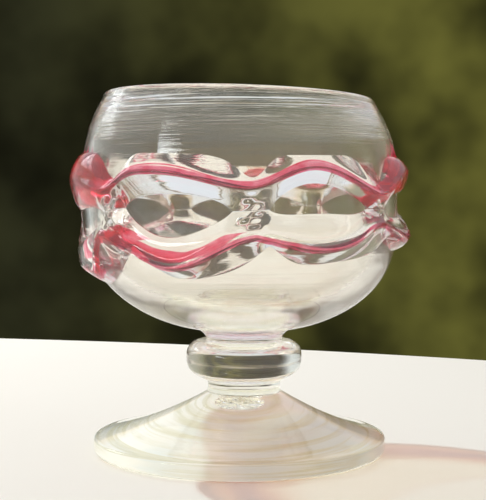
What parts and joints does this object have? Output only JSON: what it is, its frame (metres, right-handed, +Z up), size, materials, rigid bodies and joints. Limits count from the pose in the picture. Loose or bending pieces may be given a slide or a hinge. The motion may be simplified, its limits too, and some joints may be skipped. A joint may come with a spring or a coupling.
{
  "type": "goblet",
  "caption": "Short stemmed drinking glass: an in-curving blown bowl with wavy clear-and-ruby trails nipped into a chain of cells, on a flattened knop and a domed conical foot",
  "frame": {"origin": "on the table, under the middle of the foot", "axes": "+Z up along the goblet's axis, +X to the right and -Y towards the viewer of the pictured side"},
  "size_m": [0.1051, 0.1045, 0.1117],
  "materials": {
    "clear_glass": "fire-polished, faintly striated",
    "foot_glass": "fire-polished, faint grey-green tint",
    "trail_glass": "fire-polished, tooled at the nips",
    "ruby_glass": "translucent ruby thread cased in clear glass"
  },
  "bodies": {
    "root": {"foot": "foot_glass", "pontil_scar": "foot_glass", "neck": "clear_glass", "knop": "clear_glass", "collar": "clear_glass", "bowl": "clear_glass", "upper_trail": "trail_glass", "upper_ruby_thread": "ruby_glass", "lower_trail": "trail_glass", "lower_ruby_thread": "ruby_glass"}
  },
  "joints": []
}
